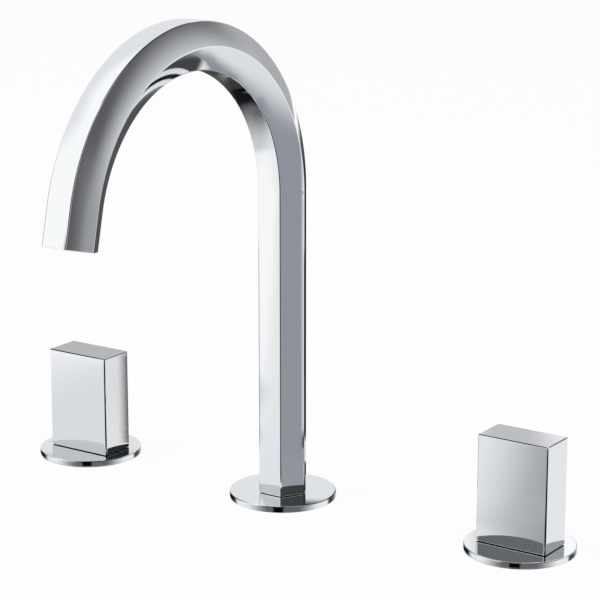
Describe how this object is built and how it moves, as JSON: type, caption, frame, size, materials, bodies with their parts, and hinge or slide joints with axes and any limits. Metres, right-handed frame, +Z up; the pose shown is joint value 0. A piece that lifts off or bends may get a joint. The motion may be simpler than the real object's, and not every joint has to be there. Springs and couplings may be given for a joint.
{
  "type": "bathroom sink faucet",
  "caption": "Three-hole basin faucet: a six-sided gooseneck spout and two upright block handles on thin round flanges, each handle with a quarter-turn ceramic valve below the deck.",
  "frame": {"origin": "on the spout's axis at deck level, where the spout's flange meets the deck", "axes": "+Z up out of the deck, +X from the spout to the cold handle, the spout reaches towards -Y"},
  "size_m": [0.305, 0.1927, 0.3112],
  "materials": {
    "polished_chrome": "mirror-polished chrome plate on brass",
    "machined_brass": "machined, unplated",
    "stainless_steel": "satin",
    "black_rubber": "matt, moulded",
    "white_nylon": "moulded",
    "black_acetal": "turned from bar",
    "white_ceramic": null,
    "grey_ceramic": null
  },
  "bodies": {
    "faucet_body": {"spout_tube": "polished_chrome", "spout_flange": "polished_chrome", "spout_flange_gasket": "black_rubber", "spout_shank": "machined_brass", "shank_o_ring": "black_rubber", "spout_rubber_washer": "black_rubber", "spout_steel_washer": "stainless_steel", "spout_lock_nut": "machined_brass", "inlet_tee": "machined_brass", "tee_washer": "black_rubber", "aerator_housing": "stainless_steel", "aerator_grille": "white_nylon", "aerator_screen": "stainless_steel", "aerator_gasket": "black_rubber", "hot_flange": "polished_chrome", "hot_flange_gasket": "black_rubber", "hot_glide_bush": "black_acetal", "hot_valve_body": "machined_brass", "hot_cartridge_nut": "machined_brass", "hot_cartridge_body": "machined_brass", "hot_cartridge_o_ring": "black_rubber", "hot_fixed_disc": "white_ceramic", "hot_seat_seal": "black_rubber", "hot_rubber_washer": "black_rubber", "hot_steel_washer": "stainless_steel", "hot_lock_nut": "machined_brass", "cold_flange": "polished_chrome", "cold_flange_gasket": "black_rubber", "cold_glide_bush": "black_acetal", "cold_valve_body": "machined_brass", "cold_cartridge_nut": "machined_brass", "cold_cartridge_body": "machined_brass", "cold_cartridge_o_ring": "black_rubber", "cold_fixed_disc": "white_ceramic", "cold_seat_seal": "black_rubber", "cold_rubber_washer": "black_rubber", "cold_steel_washer": "stainless_steel", "cold_lock_nut": "machined_brass"},
    "hot_handle": {"hot_handle": "polished_chrome", "hot_grub_screw": "stainless_steel", "hot_stem_adapter": "machined_brass", "hot_adapter_screw": "stainless_steel", "hot_valve_stem": "machined_brass", "hot_stem_o_ring": "black_rubber", "hot_moving_disc": "grey_ceramic"},
    "cold_handle": {"cold_handle": "polished_chrome", "cold_grub_screw": "stainless_steel", "cold_stem_adapter": "machined_brass", "cold_adapter_screw": "stainless_steel", "cold_valve_stem": "machined_brass", "cold_stem_o_ring": "black_rubber", "cold_moving_disc": "grey_ceramic"}
  },
  "joints": [
    {"name": "hot_turn", "type": "hinge", "parent": "faucet_body", "child": "hot_handle", "pos_m": [-0.121, 0, 0], "axis": [0, 0, 1], "range_deg": [0, 90]},
    {"name": "cold_turn", "type": "hinge", "parent": "faucet_body", "child": "cold_handle", "pos_m": [0.132, 0, 0], "axis": [0, 0, 1], "range_deg": [-90, 0]}
  ]
}
